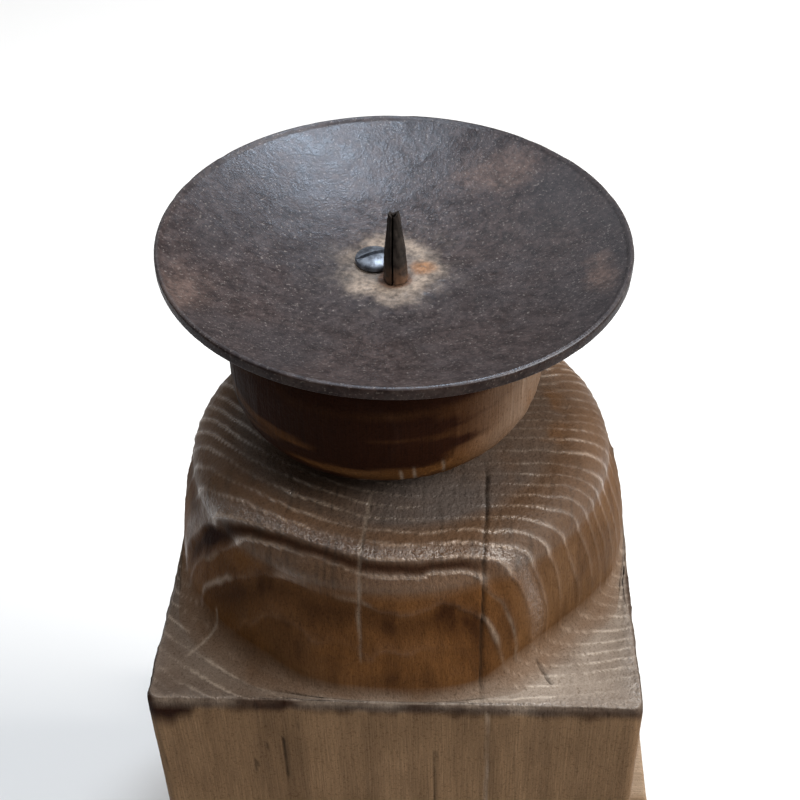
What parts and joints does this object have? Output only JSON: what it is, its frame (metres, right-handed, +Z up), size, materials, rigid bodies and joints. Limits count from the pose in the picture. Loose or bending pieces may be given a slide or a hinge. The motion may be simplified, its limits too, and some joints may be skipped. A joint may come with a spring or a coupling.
{
  "type": "wooden candlestick",
  "caption": "Short square wooden post with a turned shoulder and bead, an iron drip tray and a rolled-sheet pricket, on a wider square wooden plinth.",
  "frame": {"origin": "on the table, under the middle of the square plinth, which is on the post's axis", "axes": "+Z up the post, -Y out of the front face of the block, +X to the right of it"},
  "size_m": [0.16, 0.16, 0.2675],
  "materials": {
    "weathered_timber": "weathered, waxed brown softwood with raised growth rings",
    "pale_timber": "plain, matt",
    "tray_iron": "dark brown patina, satin",
    "spike_iron": "blackened, rust at its foot",
    "zinc_screw": "zinc plate",
    "steel_screw": "plain",
    "felt": "pressed felt"
  },
  "bodies": {
    "root": {"turned_post": "weathered_timber", "plinth": "pale_timber", "drip_tray": "tray_iron", "pricket_spike": "spike_iron", "tray_screw": "zinc_screw", "plinth_screw_1": "steel_screw", "plinth_screw_2": "steel_screw", "plinth_screw_3": "steel_screw", "plinth_screw_4": "steel_screw", "felt_pad_1": "felt", "felt_pad_2": "felt", "felt_pad_3": "felt", "felt_pad_4": "felt"}
  },
  "joints": []
}
